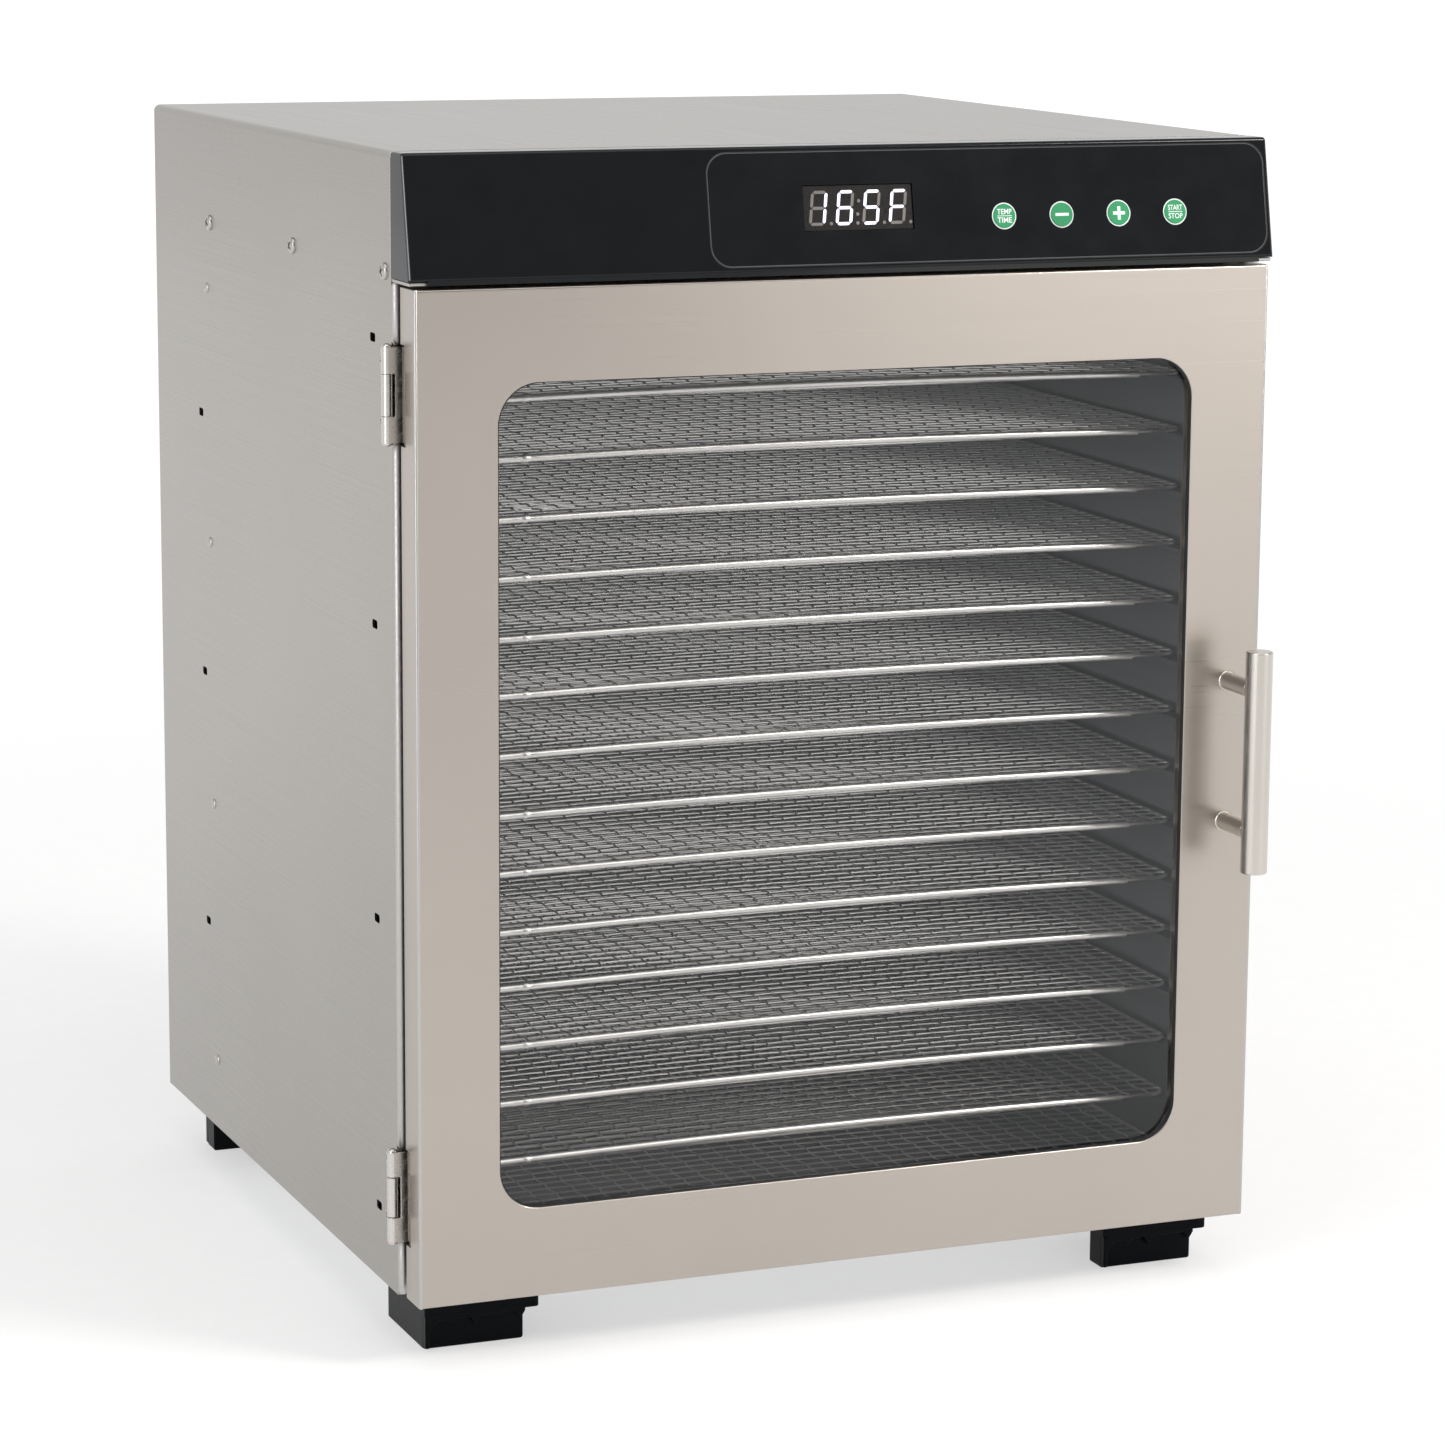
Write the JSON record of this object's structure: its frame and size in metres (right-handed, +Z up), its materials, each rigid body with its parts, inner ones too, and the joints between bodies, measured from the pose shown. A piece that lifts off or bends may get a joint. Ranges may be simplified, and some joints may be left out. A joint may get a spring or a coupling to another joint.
{
  "type": "food dehydrator",
  "caption": "Steel cabinet food dehydrator with a hinged glass door, a stack of wire trays, a rear fan and ring heater, and a slanted control fascia.",
  "frame": {"origin": "middle of the bottom of the whole object, on the surface it stands on", "axes": "+Z up, -Y out through the door, +X to the right as the door is faced"},
  "size_m": [0.4054, 0.4324, 0.518],
  "materials": {
    "brushed_stainless": "vertical and horizontal brushed grain",
    "satin_stainless": "satin",
    "tray_wire": "bright drawn wire",
    "chamber_liner": "mill finish sheet",
    "galvanised_steel": "zinc plated",
    "heater_sheath": "heat darkened",
    "foot_plastic": "fine moulded texture",
    "inlet_plastic": "moulded",
    "fascia_gloss": "high gloss",
    "overlay_film": "gloss film",
    "display_face": "smoked window with lit digits",
    "button_green": "satin",
    "circuit_board": "solder mask",
    "black_rubber": "matt",
    "clear_glass": "clear tempered",
    "magnet": "matt"
  },
  "bodies": {
    "cabinet": {"outer_shell": "brushed_stainless", "base_pan": "galvanised_steel", "rear_panel": "brushed_stainless", "front_frame": "brushed_stainless", "control_shelf": "brushed_stainless", "liner_left": "chamber_liner", "liner_right": "chamber_liner", "chamber_ceiling": "chamber_liner", "chamber_floor": "chamber_liner", "fan_baffle": "chamber_liner", "foot_front_left": "foot_plastic", "foot_front_right": "foot_plastic", "foot_rear_left": "foot_plastic", "foot_rear_right": "foot_plastic", "fascia": "fascia_gloss", "overlay": "overlay_film", "display": "display_face", "control_board": "circuit_board", "door_catch": "magnet", "fan_guard": "galvanised_steel", "fan_motor": "galvanised_steel", "motor_bracket": "galvanised_steel", "heating_element": "heater_sheath", "power_inlet": "inlet_plastic", "upper_hinge_cabinet_leaf": "satin_stainless", "upper_hinge_pin": "satin_stainless", "lower_hinge_cabinet_leaf": "satin_stainless", "lower_hinge_pin": "satin_stainless"},
    "door": {"door_frame": "brushed_stainless", "window_gasket": "black_rubber", "window_glass": "clear_glass", "inner_frame": "brushed_stainless", "door_seal": "black_rubber", "handle_bar": "satin_stainless", "handle_post_upper": "satin_stainless", "handle_post_lower": "satin_stainless", "upper_hinge_door_leaf": "satin_stainless", "lower_hinge_door_leaf": "satin_stainless"},
    "fan": {"fan_blade": "galvanised_steel", "motor_shaft": "satin_stainless"},
    "tray_01": {"tray_01": "tray_wire"},
    "tray_02": {"tray_02": "tray_wire"},
    "tray_03": {"tray_03": "tray_wire"},
    "tray_04": {"tray_04": "tray_wire"},
    "tray_05": {"tray_05": "tray_wire"},
    "tray_06": {"tray_06": "tray_wire"},
    "tray_07": {"tray_07": "tray_wire"},
    "tray_08": {"tray_08": "tray_wire"},
    "tray_09": {"tray_09": "tray_wire"},
    "tray_10": {"tray_10": "tray_wire"},
    "tray_11": {"tray_11": "tray_wire"},
    "tray_12": {"tray_12": "tray_wire"},
    "tray_13": {"tray_13": "tray_wire"},
    "tray_14": {"tray_14": "tray_wire"},
    "tray_15": {"tray_15": "tray_wire"},
    "tray_16": {"tray_16": "tray_wire"},
    "button_mode": {"button_mode": "button_green"},
    "button_minus": {"button_minus": "button_green"},
    "button_plus": {"button_plus": "button_green"},
    "button_start_stop": {"button_start_stop": "button_green"}
  },
  "joints": [
    {"name": "door_swing", "type": "hinge", "parent": "cabinet", "child": "door", "pos_m": [-0.20025, -0.16035, 0.2454], "axis": [0, 0, -1], "range_deg": [0, 180]},
    {"name": "fan_spin", "type": "hinge", "parent": "cabinet", "child": "fan", "pos_m": [0.00275, 0.16595, 0.2454], "axis": [0, 1, 0], "continuous": true},
    {"name": "tray_01_slide", "type": "slide", "parent": "cabinet", "child": "tray_01", "axis": [0, -1, 0], "range_m": [0, 0.01]},
    {"name": "tray_02_slide", "type": "slide", "parent": "cabinet", "child": "tray_02", "axis": [0, -1, 0], "range_m": [0, 0.01]},
    {"name": "tray_03_slide", "type": "slide", "parent": "cabinet", "child": "tray_03", "axis": [0, -1, 0], "range_m": [0, 0.01]},
    {"name": "tray_04_slide", "type": "slide", "parent": "cabinet", "child": "tray_04", "axis": [0, -1, 0], "range_m": [0, 0.01]},
    {"name": "tray_05_slide", "type": "slide", "parent": "cabinet", "child": "tray_05", "axis": [0, -1, 0], "range_m": [0, 0.01]},
    {"name": "tray_06_slide", "type": "slide", "parent": "cabinet", "child": "tray_06", "axis": [0, -1, 0], "range_m": [0, 0.01]},
    {"name": "tray_07_slide", "type": "slide", "parent": "cabinet", "child": "tray_07", "axis": [0, -1, 0], "range_m": [0, 0.01]},
    {"name": "tray_08_slide", "type": "slide", "parent": "cabinet", "child": "tray_08", "axis": [0, -1, 0], "range_m": [0, 0.01]},
    {"name": "tray_09_slide", "type": "slide", "parent": "cabinet", "child": "tray_09", "axis": [0, -1, 0], "range_m": [0, 0.01]},
    {"name": "tray_10_slide", "type": "slide", "parent": "cabinet", "child": "tray_10", "axis": [0, -1, 0], "range_m": [0, 0.01]},
    {"name": "tray_11_slide", "type": "slide", "parent": "cabinet", "child": "tray_11", "axis": [0, -1, 0], "range_m": [0, 0.01]},
    {"name": "tray_12_slide", "type": "slide", "parent": "cabinet", "child": "tray_12", "axis": [0, -1, 0], "range_m": [0, 0.01]},
    {"name": "tray_13_slide", "type": "slide", "parent": "cabinet", "child": "tray_13", "axis": [0, -1, 0], "range_m": [0, 0.01]},
    {"name": "tray_14_slide", "type": "slide", "parent": "cabinet", "child": "tray_14", "axis": [0, -1, 0], "range_m": [0, 0.01]},
    {"name": "tray_15_slide", "type": "slide", "parent": "cabinet", "child": "tray_15", "axis": [0, -1, 0], "range_m": [0, 0.01]},
    {"name": "tray_16_slide", "type": "slide", "parent": "cabinet", "child": "tray_16", "axis": [0, -1, 0], "range_m": [0, 0.01]},
    {"name": "button_mode_press", "type": "slide", "parent": "cabinet", "child": "button_mode", "axis": [0, 0.982, -0.1888], "range_m": [0, 0.0006], "stiffness_N_per_m": 400},
    {"name": "button_minus_press", "type": "slide", "parent": "cabinet", "child": "button_minus", "axis": [0, 0.982, -0.1888], "range_m": [0, 0.0006], "stiffness_N_per_m": 400},
    {"name": "button_plus_press", "type": "slide", "parent": "cabinet", "child": "button_plus", "axis": [0, 0.982, -0.1888], "range_m": [0, 0.0006], "stiffness_N_per_m": 400},
    {"name": "button_start_stop_press", "type": "slide", "parent": "cabinet", "child": "button_start_stop", "axis": [0, 0.982, -0.1888], "range_m": [0, 0.0006], "stiffness_N_per_m": 400}
  ]
}
